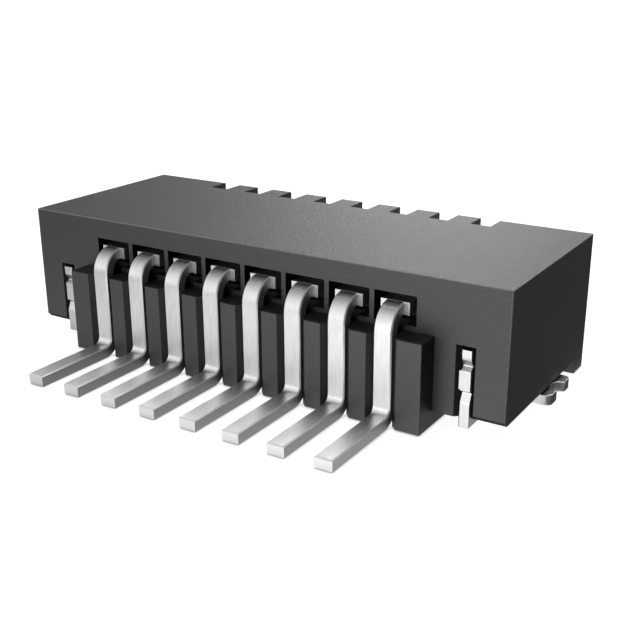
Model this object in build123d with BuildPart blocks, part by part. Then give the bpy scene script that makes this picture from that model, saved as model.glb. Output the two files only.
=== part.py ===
"""Right-angle surface-mount connector for a flat flexible cable.

The housing is moulded in one piece. Eight formed contacts enter it through windows in the rear
wall, and a nail soldered to the board holds it down at each end.

Frame: X runs along the row of contacts, the tails point to -Y, the cable enters from +Y, and the
board's surface is the plane Z = 0.
"""

import os

from build123d import *

# Row of contacts
contact_count = 8
pitch = 1.25

# Housing block
end_margin = 2.86
body_depth = 5.55
body_height = 3.7
standoff = 0.4
rear_chamfer = 0.13
edge_radius = 0.03
front_bar_depth = 0.67

# Contact strip and tail
strip_thickness = 0.31
strip_width = 0.76
strip_level = 2.665
tail_width = 0.475
tail_reach = 3.2
tail_setback = 0.61
top_bend = 0.34
foot_bend = 0.2
tail_chamfer = 0.03

# Contact spring inside the housing
grip_run = 2.1
beam_width = 0.46
beam_root = 0.35
nose_setback = 1.1
tip_setback = 0.45
tip_lift = 0.475
root_bend = 0.5
nose_bend = 0.25

# Rear windows, and the channel below each
window_side_room = 0.18
window_head_room = 0.18
window_foot_room = 0.245
window_depth = 0.7
channel_depth = 0.4

# Comb of posts that guards the tails
tail_clearance = 0.01
post_cover = 0.05
post_drop = 0.13
post_lift = 0.03
post_chamfer = 0.155
end_post_width = 0.79
rib_run = 1.6

# Passages for the strips and springs
strip_side_clearance = 0.01
strip_top_clearance = 0.02
beam_clearance = 0.06
beam_head_room = 0.25
notch_depth = 0.73

# Slot for the cable
cable_clearance = 0.05
cable_floor = 1.55
cable_slot_height = 0.5
cable_slot_depth = 3.5
mouth_bevel = 0.2
nose_gap = 0.12

# Fitting nails
nail_sheet = 0.265
nail_inset = 0.893
nail_top = 2.105
nail_lift = 0.17
nail_edge_radius = 0.045
nail_bend = 0.12
nail_front_corner = 0.4
nail_relief = 0.2
nail_rib = 0.055
nail_rib_low = 1.1
nail_rib_height = 0.5
nail_rib_run = 0.5
nail_rib_corner = 0.05
nail_recess = 0.1
nail_recess_flat = 0.03
nail_recess_round = 0.05
nail_upper_step = 0.08
nail_upper_ramp = 0.18
nail_lower_step = 0.06
nail_lower_ramp = 0.22
nail_ramp_round = 0.2
nail_foot_start = 2.57
nail_foot_length = 1.48
nail_foot_overhang = 0.18
nail_foot_corner = 0.16
nail_bite_radius = 0.31
nail_bite_offset = 0.045
nail_foot_edge_radius = 0.03
nail_slot_clearance = 0.01
nail_mouth_depth = 0.1
nail_mouth_inner = 0.13
nail_mouth_outer = 0.095
nail_mouth_head = 0.09

# Places worked out from the sizes above
rear = (tail_reach - body_depth) / 2
front = rear + body_depth
contact_x = [(i - (contact_count - 1) / 2) * pitch for i in range(contact_count)]
half_length = contact_x[-1] + end_margin
strip_middle = strip_level + strip_thickness / 2
strip_top = strip_level + strip_thickness

window_width = strip_width + 2 * window_side_room
window_sill = strip_level - window_foot_room
window_head = strip_top + window_head_room

post_gap = tail_width + 2 * tail_clearance
post_reach = tail_setback + post_cover
post_top = window_sill - post_drop
end_post_inner = contact_x[-1] + post_gap / 2
end_post_outer = end_post_inner + end_post_width

cable_ceiling = cable_floor + cable_slot_height
cable_slot_width = (contact_count + 1) * pitch + 2 * cable_clearance
beam_roof = strip_top + beam_head_room
beam_passage_width = beam_width + 2 * beam_clearance
nose_level = cable_floor + nose_gap + strip_thickness / 2
tip_level = nose_level + tip_lift

nail_outer = half_length - nail_inset
nail_inner = nail_outer - nail_sheet
nail_slot_high = nail_outer + nail_slot_clearance
nail_slot_top = nail_top + nail_slot_clearance
nail_slot_end = nail_foot_start + nail_foot_length + nail_slot_clearance


def post_spans():
    """Lowest and highest X of each post, from the left end to the right."""
    spans = [(-end_post_outer, -end_post_inner)]
    for left, right in zip(contact_x, contact_x[1:]):
        spans.append((left + post_gap / 2, right - post_gap / 2))
    spans.append((end_post_inner, end_post_outer))
    return spans


def post_rectangles(low, high):
    """One rectangle for each post, seen along Y, between two levels."""
    for left, right in post_spans():
        with Locations(((left + right) / 2, (low + high) / 2)):
            Rectangle(right - left, high - low)


def row_of_rectangles(width, low, high):
    """One rectangle for each contact, seen along Y, between two levels."""
    with Locations(*[(x, (low + high) / 2) for x in contact_x]):
        Rectangle(width, high - low)


def facing_rear(distance):
    """Plane that faces the tails, at a distance in front of the rear wall."""
    return Plane.XZ.offset(-(rear + distance))


def slot_rectangle(side, inner, outer, head):
    """Section of a nail's slot on one side, seen along Y, widened by three allowances."""
    low = nail_inner - inner
    high = nail_slot_high + outer
    top = nail_slot_top + head
    with Locations((side * (low + high) / 2, top / 2)):
        Rectangle(high - low, top)


# Housing
with BuildPart() as housing:
    # Block that stands off the board behind and rests on a bar in front
    with BuildSketch(Plane.YZ):
        with BuildLine():
            Polyline(
                (rear, standoff),
                (front - front_bar_depth, standoff),
                (front - front_bar_depth, 0),
                (front, 0),
                (front, body_height),
                (rear, body_height),
                close=True,
            )
        make_face()
    extrude(amount=half_length, both=True)

    # Chamfer under the rear wall, outside the nails only
    for side in (-1, 1):
        with BuildSketch(Plane.YZ.offset(side * nail_outer)):
            Polygon(
                (rear, standoff), (rear, standoff + rear_chamfer), (rear + rear_chamfer, standoff), align=None
            )
        extrude(amount=side * (half_length - nail_outer), mode=Mode.SUBTRACT)
    corners = housing.edges().filter_by(Axis.Z).filter_by(lambda e: e.length > body_height / 2)
    rim = housing.faces().sort_by(Axis.Z)[-1].edges()
    fillet(corners + rim, radius=edge_radius)

    # Posts with their edges beside the tails chamfered, and ribs that carry them on below the block
    with BuildSketch(facing_rear(-post_reach)):
        post_rectangles(post_lift, post_top)
    extrude(amount=-post_reach)
    with BuildSketch(facing_rear(0)):
        post_rectangles(post_lift, standoff)
    extrude(amount=-rib_run)
    upright_edges = housing.faces().filter_by(Axis.Y).group_by(Axis.Y)[0].edges().filter_by(Axis.Z)
    chamfer(upright_edges.sort_by(Axis.X)[1:-1], length=post_chamfer)
    post_faces = housing.faces().filter_by(Axis.Y).group_by(Axis.Y)[0]
    top_edges = post_faces.edges().filter_by(Axis.X).group_by(Axis.Z)[-1]
    outer_edges = post_faces.edges().filter_by(Axis.Z).sort_by(Axis.X)
    fillet(top_edges + [outer_edges[0], outer_edges[-1]], radius=edge_radius)

    # Windows in the rear wall, with a channel below each
    with BuildSketch(facing_rear(0)):
        row_of_rectangles(window_width, window_sill, window_head)
    extrude(amount=-window_depth, mode=Mode.SUBTRACT)
    with BuildSketch(facing_rear(0)):
        row_of_rectangles(post_gap, 0, window_sill)
    extrude(amount=-channel_depth, mode=Mode.SUBTRACT)

    # Passages that grip the strips
    with BuildSketch(facing_rear(0)):
        row_of_rectangles(
            strip_width + 2 * strip_side_clearance, strip_level, strip_top + strip_top_clearance
        )
    extrude(amount=-grip_run, mode=Mode.SUBTRACT)

    # Passages that the springs move in, open at the top along the front edge
    with BuildSketch(facing_rear(grip_run)):
        row_of_rectangles(beam_passage_width, cable_ceiling, beam_roof)
    extrude(amount=-(body_depth - grip_run), mode=Mode.SUBTRACT)
    with BuildSketch(facing_rear(body_depth)):
        row_of_rectangles(beam_passage_width, cable_ceiling, body_height)
    extrude(amount=notch_depth, mode=Mode.SUBTRACT)

    # Slot for the cable, with a bevelled mouth
    with BuildSketch(facing_rear(body_depth)):
        with Locations((0, (cable_floor + cable_ceiling) / 2)):
            Rectangle(cable_slot_width, cable_slot_height)
    extrude(amount=cable_slot_depth, mode=Mode.SUBTRACT)
    with BuildSketch(facing_rear(body_depth)):
        with Locations((0, (cable_floor + cable_ceiling) / 2)):
            Rectangle(cable_slot_width + 2 * mouth_bevel, cable_slot_height + 2 * mouth_bevel)
    extrude(amount=mouth_bevel, taper=45, mode=Mode.SUBTRACT)

    # Slot for the nail at each end, open below, with a widened mouth and a groove for the rib
    for side in (-1, 1):
        with BuildSketch(facing_rear(0)):
            slot_rectangle(side, nail_mouth_inner, nail_mouth_outer, nail_mouth_head)
        with BuildSketch(facing_rear(nail_mouth_depth)):
            slot_rectangle(side, 0, 0, 0)
        loft(mode=Mode.SUBTRACT)
        with BuildSketch(facing_rear(0)):
            slot_rectangle(side, 0, 0, 0)
        extrude(amount=-nail_slot_end, mode=Mode.SUBTRACT)
        with BuildSketch(facing_rear(0)):
            with Locations((side * nail_inner, nail_rib_low + nail_rib_height / 2)):
                Rectangle(2 * (nail_rib + nail_slot_clearance), nail_rib_height + 2 * nail_slot_clearance)
        extrude(amount=-nail_rib_run, mode=Mode.SUBTRACT)

housing.part.label = "housing"


def contact_at(x):
    """One contact: tail, strip and spring, bent from a single blank."""
    tail_line = rear - tail_setback + strip_thickness / 2
    with BuildPart() as contact:
        # Tail: out of the window, down between the posts and along the board
        with BuildLine(Plane.YZ.offset(x)) as tail_path:
            FilletPolyline(
                (rear + window_depth, strip_middle),
                (tail_line, strip_middle),
                (tail_line, strip_thickness / 2),
                (rear - tail_reach, strip_thickness / 2),
                radius=[top_bend + strip_thickness / 2, foot_bend + strip_thickness / 2],
            )
        with BuildSketch(Plane.XZ.offset(-(rear + window_depth))):
            with Locations((x, strip_middle)):
                section = Rectangle(tail_width, strip_thickness)
            chamfer(section.vertices(), length=tail_chamfer)
        sweep(path=tail_path.line)
        tip_edges = contact.faces().sort_by(Axis.Y)[0].edges().filter_by(Axis.X)
        chamfer(tip_edges, length=tail_chamfer)

        # Wider strip that the housing grips, with its shoulders flush with the rear wall
        with BuildSketch(Plane.YZ.offset(x)):
            with Locations((rear + grip_run / 2, strip_middle)):
                Rectangle(grip_run, strip_thickness)
        extrude(amount=strip_width / 2, both=True)

        # Spring that presses on the cable and lifts again to its tip
        with BuildSketch(Plane.YZ.offset(x)):
            with BuildLine():
                FilletPolyline(
                    (rear + grip_run - strip_thickness, strip_middle),
                    (rear + grip_run + beam_root, strip_middle),
                    (front - nose_setback, nose_level),
                    (front - tip_setback, tip_level),
                    radius=[root_bend, nose_bend],
                )
            trace(line_width=strip_thickness)
        extrude(amount=beam_width / 2, both=True)
    return contact.part


def nail_rear_edge():
    """Rear edge of a nail from top to bottom, with a hollow above and below its rib."""
    rib_top = nail_rib_low + nail_rib_height
    hollow = rear + nail_recess
    upper_end = rib_top + nail_upper_step + nail_recess_flat
    lower_end = nail_rib_low - nail_lower_step - nail_recess_flat
    FilletPolyline(
        (rear, nail_top),
        (rear, upper_end + nail_upper_ramp),
        (hollow, upper_end),
        (hollow, rib_top + nail_upper_step),
        (rear, rib_top),
        (rear, nail_rib_low),
        (hollow, nail_rib_low - nail_lower_step),
        (hollow, lower_end),
        (rear, lower_end - nail_lower_ramp),
        (rear, nail_lift),
        radius=[nail_ramp_round, nail_recess_round, nail_recess_round / 3, 0]
        + [0, nail_recess_round / 3, nail_recess_round, nail_ramp_round],
    )


# Nail at the right-hand end
foot_near = rear + nail_foot_start
foot_far = foot_near + nail_foot_length
bend_line = nail_sheet / 2 + nail_bend + nail_sheet / 2
with BuildPart() as right_nail:
    # Upright plate, with its bottom edge raised where the foot is bent out
    with BuildSketch(Plane.YZ.offset(nail_inner)):
        with BuildLine():
            nail_rear_edge()
            Polyline(
                (rear, nail_lift),
                (foot_near - nail_relief, nail_lift),
                (foot_near - nail_relief, bend_line + nail_relief),
                (foot_near, bend_line + nail_relief),
                (foot_near, bend_line),
                (foot_far, bend_line),
                (foot_far, nail_top - nail_front_corner),
                (foot_far - nail_front_corner, nail_top),
                (rear, nail_top),
            )
        make_face()
    extrude(amount=nail_sheet)

    # Rib on the inner side of the plate, which stops it at the end of the pocket
    with BuildSketch(facing_rear(0)):
        with Locations((nail_inner, nail_rib_low + nail_rib_height / 2)):
            RectangleRounded(2 * nail_rib, nail_rib_height, nail_rib_corner)
    extrude(amount=-nail_rib_run)

    # Foot: bent outwards along the board, with a bite in its outer edge
    with BuildSketch(facing_rear(nail_foot_start + nail_foot_length)):
        with BuildLine():
            FilletPolyline(
                (nail_inner + nail_sheet / 2, bend_line + nail_sheet),
                (nail_inner + nail_sheet / 2, nail_sheet / 2),
                (half_length + nail_foot_overhang, nail_sheet / 2),
                radius=nail_bend + nail_sheet / 2,
            )
        trace(line_width=nail_sheet)
    extrude(amount=nail_foot_length)
    foot_corners = right_nail.edges().filter_by(Axis.Z).group_by(Axis.X)[-1]
    fillet(foot_corners, radius=nail_foot_corner)
    with BuildSketch(Plane.XY):
        with Locations((half_length + nail_foot_overhang + nail_bite_offset, (foot_near + foot_far) / 2)):
            Circle(nail_bite_radius)
    extrude(amount=nail_sheet, mode=Mode.SUBTRACT)

    # Roundings left by punching: on the inner rear edges, and on the foot's upper outer edges
    plate_face = right_nail.faces().filter_by(Axis.X).filter_by(
        lambda face: abs(face.center().X - nail_inner) < nail_rib / 2
    )
    plate_edges = plate_face.edges().filter_by(lambda edge: edge.center().Y < rear + 1.1 * nail_recess)
    fillet(plate_edges, radius=nail_edge_radius)
    rib_edges = right_nail.edges().filter_by(lambda edge: edge.center().X < nail_inner - nail_rib / 2)
    fillet(rib_edges.group_by(Axis.Y)[0], radius=nail_edge_radius)
    upper_edges = right_nail.edges().filter_by(lambda edge: edge.center().X > half_length - nail_bite_radius)
    fillet(upper_edges.group_by(Axis.Z)[-1], radius=nail_foot_edge_radius)
right_nail.part.label = "right_fitting_nail"

# Nail at the left-hand end, the mirror image
with BuildPart() as left_nail:
    mirror(right_nail.part, about=Plane.YZ)
left_nail.part.label = "left_fitting_nail"

pieces = [housing.part, right_nail.part, left_nail.part]
for number, x in enumerate(contact_x, start=1):
    contact_part = contact_at(x)
    contact_part.label = f"contact_{number}"
    pieces.append(contact_part)

os.makedirs("parts", exist_ok=True)
for piece in pieces:
    export_step(piece, f"parts/{piece.label}.step")
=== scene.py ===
"""Finish, light and camera for the flex connector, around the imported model.

Lengths are metres in the part's own frame: X along the row of contacts, the tails towards -Y, and
the board's surface at Z = 0.
"""

import math

import bpy
from mathutils import Matrix, Vector


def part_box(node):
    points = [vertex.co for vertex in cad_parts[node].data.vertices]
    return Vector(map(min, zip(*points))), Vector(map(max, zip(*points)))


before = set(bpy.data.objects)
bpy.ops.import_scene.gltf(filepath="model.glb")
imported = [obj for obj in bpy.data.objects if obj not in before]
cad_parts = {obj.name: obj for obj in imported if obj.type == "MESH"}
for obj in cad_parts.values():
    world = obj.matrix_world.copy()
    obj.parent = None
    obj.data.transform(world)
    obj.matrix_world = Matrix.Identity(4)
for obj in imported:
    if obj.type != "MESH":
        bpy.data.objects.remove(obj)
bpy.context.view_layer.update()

MM = 0.001
WHITE = (1, 1, 1, 1)

# Camera: where it stands round the object, and what its axis passes through
CAMERA_AZIMUTH = 31.935
CAMERA_ELEVATION = 19.968
CAMERA_ROLL = -0.151
CAMERA_DISTANCE = 26.378 * MM
CAMERA_TARGET = Vector((1.387, 0.315, 1.460)) * MM
CAMERA_LENS = 56.27
SENSOR_WIDTH = 36.0

# Surroundings: what they give to matt surfaces, and how they look in gloss behind and in front
SKY_FILL = 0.22
SKY_BEHIND = 0.08
SKY_IN_FRONT = 1.0
SKY_FRONT = (-0.3, -0.95, 0.0)
SKY_FRONT_REACHED = 0.85

# Lamps: how far away the softboxes and the strip are
SOFTBOX_DISTANCE = 300 * MM
STRIP_DISTANCE = 30 * MM

# Floor: its size, its colour for the camera, matt surfaces and gloss, and its lift for the camera
FLOOR_HALF = 1.0
FLOOR_DROP = 0.001 * MM
FLOOR_SHOWN = 0.3
FLOOR_MATT = 0.55
FLOOR_GLOSS = 0.45
FLOOR_SHOWN_LIFT = 0.95

# Floor in gloss, a painted reflection: its lift at the left and at the right, and the painted dark beyond
# the block's end
FLOOR_LEFT_X = -14.0 * MM
FLOOR_LEFT_LIFT = 0.0
FLOOR_RIGHT_X = 6.0 * MM
FLOOR_RIGHT_LIFT = 1.07
FLOOR_END_X = (7.1 * MM, 7.4 * MM)
FLOOR_END_PAINTED_DARK = 0.08

# Floor near the object: the painted shade seen in gloss, and the thin painted contact shadow round what
# touches it
FLOOR_SHADE_REACH = 1.0 * MM
FLOOR_SHADE_LEVEL = 0.65
FLOOR_LINE_REACH = 0.12 * MM
FLOOR_LINE_RANGE = (0.2, 0.8)
FLOOR_LINE_LEVEL = 0.4

# Places on the housing: where the posts end, the block's rim, the mouths round the nails, the front bar
POSTS_END = -1.2 * MM
RIM_OUT = 7.15 * MM
RIM_UP = 3.6 * MM
NAIL_MOUTH_X = (5.9 * MM, 6.6 * MM)
NAIL_MOUTH_Y = (-1.17 * MM, -1.0 * MM)
NAIL_MOUTH_TOP = 2.3 * MM
BAR_START = 3.6 * MM

# Normals: from where to where their X, Y or Z goes between one kind of face and another
FACING = (0.8, 0.95)
SQUARE_ON = 0.9
DOWN_TO_LEVEL = (-0.6, -0.3)
TIP_TO_SIDE = (-0.95, -0.8)
FLAT_TO_ROUND = (0.999, 0.98)
ROUND_TO_CHAMFER = (0.55, 0.65)
LEFT_OR_BELOW_TO_REST = (-0.5, -0.3)
REST_TO_RIGHT_AND_UP = (0.4, 0.6)

# Every noise's detail
NOISE_DETAIL = 3.0

# Plastic: its colours, among them a painted highlight for rounded edges and a painted shade for hollows,
# its grain and roughness, and how far a hollow's painted shade reaches
PLASTIC_DARK = (0.011, 0.011, 0.0115, 1)
PLASTIC_PALE = (0.018, 0.018, 0.019, 1)
PLASTIC_PAINTED_HIGHLIGHT = (0.2, 0.2, 0.203, 1)
PLASTIC_PAINTED_SHADE = (0.004, 0.004, 0.004, 1)
PLASTIC_ROUGHNESS = (0.4, 0.5)
PLASTIC_IOR = 1.8
GRAIN_SCALE = 22 / MM
GRAIN_ROUGHNESS = 0.65
GRAIN_RANGE = (0.3, 0.7)
GRAIN_HEIGHT = 0.012 * MM
HOLLOW_REACH = 0.6 * MM
HOLLOW_RANGE = (0.1, 0.6)

# Plastic's gloss: its level in hollows and in the open, and the share left on faces of some kinds; the
# lower levels paint shade
GLOSS_HOLLOW = 0.1
GLOSS_OPEN = 0.55
GLOSS_UNDER = 0.15
GLOSS_TOP = 0.4
GLOSS_CHAMFER = 0.2

# Plating: how bright its streaks and cut ends are and how dark its painted shade on bevels is, and how
# metallic the edges with a painted highlight still are
STREAK_LEVEL = 0.9
CUT_LEVEL = 0.74
PAINTED_BEVEL_SHADE = 0.3
EDGE_METALLIC = 0.2

# Plating's marks: their scales and heights, and how much they and a sideways face change the roughness
STREAK_SCALE = (22 / MM, 3 / MM, 3 / MM)
STREAK_MIDDLE = 0.5
STREAK_RANGE = (0.35, 0.65)
STREAK_HEIGHT = 0.002 * MM
STREAK_STRENGTH = 0.15
SPECKLE_SCALE = 16 / MM
SPECKLE_ROUGHNESS = 0.6
SPECKLE_RANGE = (0.3, 0.7)
SPECKLE_HEIGHT = 0.004 * MM
SPECKLE_STRENGTH = 0.6
ROUGHER_SPECKLE = 0.02
ROUGHER_SIDEWAYS = 0.2

# Y of the contacts' tips, where the strip was cut across, and how far the cut shows
TIP_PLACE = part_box("contact_1")[0][1]
CUT_START = TIP_PLACE - 0.02 * MM
CUT_STOP = TIP_PLACE + 0.05 * MM


class Nodes:
    """A material's or world's node tree, with short calls to add and join nodes."""

    def __init__(self, owner):
        owner.use_nodes = True
        self.tree = owner.node_tree
        self.tree.nodes.clear()

    def add(self, kind, **settings):
        node = self.tree.nodes.new(kind)
        for name, value in settings.items():
            setattr(node, name, value)
        return node

    def set(self, socket, value):
        """Joins a socket to another, or sets it to a plain value."""
        if isinstance(value, bpy.types.NodeSocket):
            self.tree.links.new(value, socket)
        else:
            socket.default_value = value

    def math(self, operation, first, second=None):
        node = self.add("ShaderNodeMath", operation=operation)
        self.set(node.inputs[0], first)
        if second is not None:
            self.set(node.inputs[1], second)
        return node.outputs[0]

    def times(self, product, *factors):
        for factor in factors:
            product = self.math("MULTIPLY", product, factor)
        return product

    def inverse(self, share):
        return self.math("SUBTRACT", 1.0, share)

    def above(self, value, limit):
        return self.math("GREATER_THAN", value, limit)

    def below(self, value, limit):
        return self.math("LESS_THAN", value, limit)

    def between(self, value, low, high):
        """1 from low to high and 0 elsewhere."""
        return self.times(self.above(value, low), self.below(value, high))

    def remap(self, value, low, high, to_low=0.0, to_high=1.0):
        """Goes from to_low to to_high while value goes from low to high, and stays there beyond."""
        node = self.add("ShaderNodeMapRange")
        self.set(node.inputs["Value"], value)
        self.set(node.inputs["From Min"], low)
        self.set(node.inputs["From Max"], high)
        self.set(node.inputs["To Min"], to_low)
        self.set(node.inputs["To Max"], to_high)
        return node.outputs["Result"]

    def mix(self, share, first, second):
        """Mixes two numbers, which are inputs 2 and 3 of the Mix node."""
        node = self.add("ShaderNodeMix", data_type="FLOAT")
        self.set(node.inputs[0], share)
        self.set(node.inputs[2], first)
        self.set(node.inputs[3], second)
        return node.outputs[0]

    def blend(self, share, first, second):
        """Mixes two colours, which are inputs 6 and 7 of the Mix node, into its output 2."""
        node = self.add("ShaderNodeMix", data_type="RGBA")
        self.set(node.inputs[0], share)
        self.set(node.inputs[6], first)
        self.set(node.inputs[7], second)
        return node.outputs[2]

    def parts(self, vector):
        node = self.add("ShaderNodeSeparateXYZ")
        self.set(node.inputs[0], vector)
        return [node.outputs[axis] for axis in "XYZ"]

    def stretched(self, vector, scale):
        node = self.add("ShaderNodeMapping")
        self.set(node.inputs["Vector"], vector)
        self.set(node.inputs["Scale"], scale)
        return node.outputs["Vector"]

    def noise(self, vector, scale, roughness=0.5):
        node = self.add("ShaderNodeTexNoise")
        self.set(node.inputs["Vector"], vector)
        self.set(node.inputs["Scale"], scale)
        self.set(node.inputs["Detail"], NOISE_DETAIL)
        self.set(node.inputs["Roughness"], roughness)
        return node.outputs["Fac"]

    def bump(self, height, distance, strength=1.0, normal=None):
        node = self.add("ShaderNodeBump")
        self.set(node.inputs["Height"], height)
        self.set(node.inputs["Distance"], distance)
        self.set(node.inputs["Strength"], strength)
        if normal is not None:
            self.set(node.inputs["Normal"], normal)
        return node.outputs["Normal"]

    def off_axis(self, normal):
        """1 on edges that are rounded or bevelled, whose normals lie off X, Y and Z."""
        x, y, z = (self.math("ABSOLUTE", part) for part in normal)
        nearest = self.math("MAXIMUM", self.math("MAXIMUM", x, y), z)
        return self.remap(nearest, *FLAT_TO_ROUND)

    def upright_chamfer(self, normal):
        """1 on upright faces halfway between X and Y."""
        x, y = (self.math("ABSOLUTE", part) for part in normal[:2])
        return self.remap(self.math("MINIMUM", x, y), *ROUND_TO_CHAMFER)

    def openness(self, reach, by_itself=True):
        """1 where a surface lies open, down to 0 deep in a recess, looking as far as reach around it."""
        node = self.add("ShaderNodeAmbientOcclusion", samples=8, only_local=by_itself)
        self.set(node.inputs["Distance"], reach)
        return node.outputs["AO"]

    def seen(self):
        """1 for the rays that show the surroundings: to the camera, in gloss and through glass."""
        path = self.add("ShaderNodeLightPath").outputs
        shown = self.math("MAXIMUM", path["Is Camera Ray"], path["Is Glossy Ray"])
        return self.math("MAXIMUM", shown, path["Is Transmission Ray"])

    def finish(self, kind, shader):
        output = self.add(kind)
        self.set(output.inputs["Surface"], shader)


def scaled(color, level=1.0):
    """A colour at a share of its brightness, with the fourth value that a socket takes."""
    return tuple(level * part for part in color) + (1,)


def moulded_plastic(name):
    """Dark grey moulded plastic with a fine matt grain.

    The block's outer edges are painted pale, as a painted highlight. Hollows are painted darker and less
    glossy as painted shade, and so are faces that look down and the sides of posts and notches. The
    posts' chamfers and faces that look up are less glossy, which paints shade on them.
    """
    material = bpy.data.materials.new(name)
    nodes = Nodes(material)
    coordinates = nodes.add("ShaderNodeTexCoord").outputs
    place, normal = coordinates["Object"], nodes.parts(coordinates["Normal"])
    along, across, height = nodes.parts(place)
    outward = nodes.math("ABSOLUTE", along)

    grain = nodes.noise(place, GRAIN_SCALE, GRAIN_ROUGHNESS)
    on_block = nodes.above(across, POSTS_END)
    on_rim = nodes.math("MAXIMUM", nodes.above(outward, RIM_OUT), nodes.above(height, RIM_UP))
    # Painted highlight: a pale colour on the block's rounded outer edges, for the light they catch.
    painted_rim_highlight = nodes.times(nodes.off_axis(normal), on_rim, on_block)
    face = nodes.blend(nodes.remap(grain, *GRAIN_RANGE), PLASTIC_DARK, PLASTIC_PALE)
    face_and_painted_highlight = nodes.blend(painted_rim_highlight, face, PLASTIC_PAINTED_HIGHLIGHT)

    not_under = nodes.remap(normal[2], *DOWN_TO_LEVEL)
    beside_nail = nodes.times(nodes.between(outward, *NAIL_MOUTH_X), nodes.between(across, *NAIL_MOUTH_Y))
    nail_mouth = nodes.times(beside_nail, nodes.below(height, NAIL_MOUTH_TOP))
    facing_side = nodes.above(nodes.math("ABSOLUTE", normal[0]), SQUARE_ON)
    inner_side = nodes.times(facing_side, nodes.below(outward, RIM_OUT))
    bar_face = nodes.times(nodes.below(normal[1], -SQUARE_ON), nodes.above(across, BAR_START))
    # Painted shade: hollows, faces that look down, the sides along X and the nail mouths get a darker
    # colour and less gloss; the bar's face is kept out of it.
    free_of_painted_shade = nodes.remap(nodes.openness(HOLLOW_REACH), *HOLLOW_RANGE)
    free_of_painted_shade = nodes.times(free_of_painted_shade, nodes.inverse(nail_mouth), not_under, nodes.inverse(inner_side))
    free_of_painted_shade = nodes.math("MAXIMUM", free_of_painted_shade, bar_face)

    # Painted shade: the posts' chamfers and faces that look up get less gloss.
    post_chamfer = nodes.times(nodes.upright_chamfer(normal), nodes.inverse(on_block))
    chamfer_gloss = nodes.mix(post_chamfer, 1.0, GLOSS_CHAMFER)
    top_gloss = nodes.remap(normal[2], *FACING, 1.0, GLOSS_TOP)
    gloss = nodes.mix(nodes.times(free_of_painted_shade, chamfer_gloss, top_gloss), GLOSS_HOLLOW, GLOSS_OPEN)
    gloss = nodes.times(gloss, nodes.mix(not_under, GLOSS_UNDER, 1.0))

    shade = nodes.add("ShaderNodeBsdfPrincipled")
    nodes.set(shade.inputs["Base Color"], nodes.blend(free_of_painted_shade, PLASTIC_PAINTED_SHADE, face_and_painted_highlight))
    nodes.set(shade.inputs["Specular IOR Level"], gloss)
    nodes.set(shade.inputs["Roughness"], nodes.remap(grain, *GRAIN_RANGE, *PLASTIC_ROUGHNESS))
    nodes.set(shade.inputs["IOR"], PLASTIC_IOR)
    nodes.set(shade.inputs["Normal"], nodes.bump(grain, GRAIN_HEIGHT))
    nodes.finish("ShaderNodeOutputMaterial", shade.outputs["BSDF"])
    return material


def plated_metal(name, color, roughness, sideways_level, upward_level=1.0):
    """Bright tin plating over a strip, with short faint streaks along the way it was drawn.

    The cut ends are a little duller. Faces along X are darkened to sideways_level as painted shade, and
    rougher, and faces that look up are darkened to upward_level as painted shade. Bevels to the left and
    below are painted dark as painted shade, and those between a top and a right-hand side are made matt,
    which gives them a painted highlight.
    """
    material = bpy.data.materials.new(name)
    nodes = Nodes(material)
    coordinates = nodes.add("ShaderNodeTexCoord").outputs
    place, normal = coordinates["Object"], nodes.parts(coordinates["Normal"])

    drawn = nodes.remap(nodes.parts(place)[1], CUT_START, CUT_STOP)
    streaks = nodes.mix(drawn, STREAK_MIDDLE, nodes.noise(nodes.stretched(place, STREAK_SCALE), 1.0))
    speckle = nodes.noise(place, SPECKLE_SCALE, SPECKLE_ROUGHNESS)

    face = nodes.blend(nodes.remap(streaks, *STREAK_RANGE), scaled(color, STREAK_LEVEL), scaled(color))
    cut = nodes.times(nodes.inverse(drawn), nodes.remap(normal[1], *TIP_TO_SIDE, 1.0, 0.0))
    face = nodes.blend(cut, face, scaled(color, CUT_LEVEL))
    # Painted shade: faces that look up are darker.
    if upward_level < 1:
        face = nodes.blend(nodes.remap(normal[2], *FACING), face, scaled(color, upward_level))
    # Painted shade: faces along X are darker.
    sideways = nodes.remap(nodes.math("ABSOLUTE", normal[0]), *FACING)
    face = nodes.blend(sideways, face, scaled(color, sideways_level))

    # Painted shade: bevels to the left and below are dark.
    bevel = nodes.off_axis(normal)
    least = nodes.math("MINIMUM", normal[0], normal[2])
    painted_shade_bevel = nodes.times(bevel, nodes.remap(least, *LEFT_OR_BELOW_TO_REST, 1.0, 0.0))
    # Painted highlight: bevels between a top and a right-hand side are matt, so they show as light lines.
    painted_highlight_edge = nodes.times(bevel, nodes.remap(least, *REST_TO_RIGHT_AND_UP))
    rough = nodes.remap(
        speckle, *SPECKLE_RANGE, roughness - ROUGHER_SPECKLE, roughness + ROUGHER_SPECKLE
    )
    rough = nodes.math("ADD", rough, nodes.times(sideways, ROUGHER_SIDEWAYS))
    drawn_bump = nodes.bump(streaks, STREAK_HEIGHT, STREAK_STRENGTH)

    shade = nodes.add("ShaderNodeBsdfPrincipled")
    nodes.set(shade.inputs["Base Color"], nodes.blend(painted_shade_bevel, face, scaled(color, PAINTED_BEVEL_SHADE)))
    nodes.set(shade.inputs["Metallic"], nodes.mix(painted_highlight_edge, 1.0, EDGE_METALLIC))
    nodes.set(shade.inputs["Roughness"], rough)
    nodes.set(shade.inputs["Normal"], nodes.bump(speckle, SPECKLE_HEIGHT, SPECKLE_STRENGTH, drawn_bump))
    nodes.finish("ShaderNodeOutputMaterial", shade.outputs["BSDF"])
    return material


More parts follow.
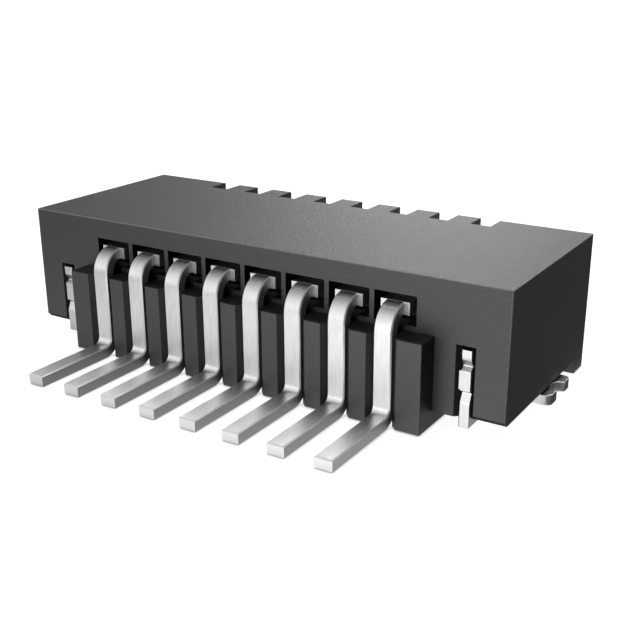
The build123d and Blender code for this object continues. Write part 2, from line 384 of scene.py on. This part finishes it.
def finish_nodes():
    """Gives every CAD node the material of its slot."""
    plastic = moulded_plastic("housing_plastic")
    contact = plated_metal("contact_metal", (0.92, 0.92, 0.93), roughness=0.38, sideways_level=0.37)
    nail = plated_metal(
        "nail_metal", (0.82, 0.82, 0.83), roughness=0.36, sideways_level=0.5, upward_level=0.65
    )
    for name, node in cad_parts.items():
        if name.startswith("contact"):
            chosen = contact
        elif name.endswith("nail"):
            chosen = nail
        else:
            chosen = plastic
        node.data.materials.clear()
        node.data.materials.append(chosen)


def surroundings():
    """White surroundings, which give matt surfaces less light and look greyer behind in gloss."""
    world = bpy.data.worlds.new("studio")
    bpy.context.scene.world = world
    nodes = Nodes(world)
    fill = nodes.add("ShaderNodeBackground")
    nodes.set(fill.inputs["Strength"], SKY_FILL)
    nodes.set(fill.inputs["Color"], WHITE)
    towards = nodes.add("ShaderNodeVectorMath", operation="DOT_PRODUCT")
    nodes.set(towards.inputs[0], nodes.add("ShaderNodeTexCoord").outputs["Generated"])
    nodes.set(towards.inputs[1], SKY_FRONT)
    sky = nodes.remap(towards.outputs["Value"], 0.0, SKY_FRONT_REACHED, SKY_BEHIND, SKY_IN_FRONT)
    camera_ray = nodes.add("ShaderNodeLightPath").outputs["Is Camera Ray"]
    shown = nodes.add("ShaderNodeBackground")
    nodes.set(shown.inputs["Strength"], nodes.math("MAXIMUM", camera_ray, sky))
    nodes.set(shown.inputs["Color"], WHITE)
    mix = nodes.add("ShaderNodeMixShader")
    nodes.set(mix.inputs["Fac"], nodes.seen())
    nodes.set(mix.inputs[1], fill.outputs[0])
    nodes.set(mix.inputs[2], shown.outputs[0])
    nodes.finish("ShaderNodeOutputWorld", mix.outputs[0])


def floor_finish():
    """Pale matt floor, lifted to white for the camera.

    In gloss it is a painted reflection: darker to the left, and darker beyond the block's end and near
    the object as painted shade. What touches it has a thin painted contact shadow round it.
    """
    material = bpy.data.materials.new("floor")
    nodes = Nodes(material)
    along = nodes.parts(nodes.add("ShaderNodeTexCoord").outputs["Object"])[0]
    path = nodes.add("ShaderNodeLightPath").outputs
    in_gloss, shown = path["Is Glossy Ray"], path["Is Camera Ray"]

    # Painted shade in gloss near the object, and a painted dark beyond the block's end.
    shade = nodes.mix(nodes.openness(FLOOR_SHADE_REACH, by_itself=False), FLOOR_SHADE_LEVEL, 1.0)
    gloss_with_painted_shade = nodes.times(nodes.remap(along, *FLOOR_END_X, 1.0, FLOOR_END_PAINTED_DARK), shade)
    # Painted reflection: the floor in gloss grows brighter towards the right.
    painted_reflection_fall = nodes.remap(along, FLOOR_LEFT_X, FLOOR_RIGHT_X, FLOOR_LEFT_LIFT, FLOOR_RIGHT_LIFT)
    # Painted contact shadow: a thin dark line round what touches the floor.
    outside_painted_line = nodes.remap(nodes.openness(FLOOR_LINE_REACH, by_itself=False), *FLOOR_LINE_RANGE)
    shown_lift = nodes.times(shown, nodes.mix(outside_painted_line, FLOOR_LINE_LEVEL, 1.0), FLOOR_SHOWN_LIFT)

    matt = nodes.add("ShaderNodeBsdfDiffuse")
    plain = nodes.mix(shown, FLOOR_MATT, FLOOR_SHOWN)
    nodes.set(matt.inputs["Color"], nodes.mix(in_gloss, plain, nodes.times(gloss_with_painted_shade, FLOOR_GLOSS)))
    lift = nodes.add("ShaderNodeEmission")
    nodes.set(lift.inputs["Strength"], nodes.mix(in_gloss, shown_lift, nodes.times(gloss_with_painted_shade, painted_reflection_fall)))
    total = nodes.add("ShaderNodeAddShader")
    nodes.set(total.inputs[0], matt.outputs[0])
    nodes.set(total.inputs[1], lift.outputs[0])
    nodes.finish("ShaderNodeOutputMaterial", total.outputs[0])
    return material


def in_scene(name, data):
    """New object that shows a mesh, lamp or camera."""
    new_object = bpy.data.objects.new(name, data)
    bpy.context.scene.collection.objects.link(new_object)
    return new_object


def floor():
    """Pale floor at the board's level, which keeps the object's shadow."""
    mesh = bpy.data.meshes.new("floor")
    corners = [(-1, -1), (1, -1), (1, 1), (-1, 1)]
    points = [(x * FLOOR_HALF, y * FLOOR_HALF, -FLOOR_DROP) for x, y in corners]
    mesh.from_pydata(points, [], [(0, 1, 2, 3)])
    mesh.materials.append(floor_finish())
    plane = in_scene("floor", mesh)


def direction(azimuth, elevation):
    """Unit vector away from the object, for an azimuth that is 0 at -Y and 90 at +X."""
    a, e = math.radians(azimuth), math.radians(elevation)
    return Vector((math.sin(a) * math.cos(e), -math.cos(a) * math.cos(e), math.sin(e)))


def lamp(name, azimuth_elevation, distance, size, level):
    """Lamp aimed at the object; level is how bright it makes a white surface that faces it."""
    data = bpy.data.lights.new(name, "AREA")
    data.shape = "RECTANGLE"
    data.size, data.size_y = size
    data.energy = level * math.pi ** 2 * distance ** 2
    away = direction(*azimuth_elevation)
    lamp_object = in_scene(name, data)
    lamp_object.visible_camera = False
    lamp_object.location = away * distance
    lamp_object.rotation_mode = "QUATERNION"
    lamp_object.rotation_quaternion = away.to_track_quat("Z", "Y")


def lamps():
    """Three softboxes behind and above, and a strip low in front."""
    lamp("back_softbox", (204, 17), SOFTBOX_DISTANCE, size=(90 * MM, 90 * MM), level=0.104)
    lamp("top_softbox", (197, 52), SOFTBOX_DISTANCE, size=(270 * MM, 170 * MM), level=0.7)
    lamp("right_softbox", (150, 55), SOFTBOX_DISTANCE, size=(120 * MM, 120 * MM), level=0.2)
    lamp("front_strip", (10, 8), STRIP_DISTANCE, size=(28 * MM, 12 * MM), level=0.16)


def camera():
    """Camera at the photograph's place, from its direction, roll and distance."""
    back = direction(CAMERA_AZIMUTH, CAMERA_ELEVATION)
    right = Vector((0, 0, 1)).cross(back).normalized()
    up = back.cross(right)
    roll = math.radians(CAMERA_ROLL)
    turned_right = right * math.cos(roll) + up * math.sin(roll)
    turned_up = up * math.cos(roll) - right * math.sin(roll)
    data = bpy.data.cameras.new("camera")
    data.lens = CAMERA_LENS
    data.sensor_width = SENSOR_WIDTH
    data.clip_start = CAMERA_DISTANCE / 20
    data.clip_end = 10 * FLOOR_HALF
    camera_object = in_scene("camera", data)
    turn = Matrix((turned_right, turned_up, back)).transposed().to_4x4()
    camera_object.matrix_world = Matrix.Translation(CAMERA_TARGET + back * CAMERA_DISTANCE) @ turn
    bpy.context.scene.camera = camera_object


finish_nodes()
surroundings()
floor()
lamps()
camera()
bpy.context.scene.view_settings.view_transform = "Standard"
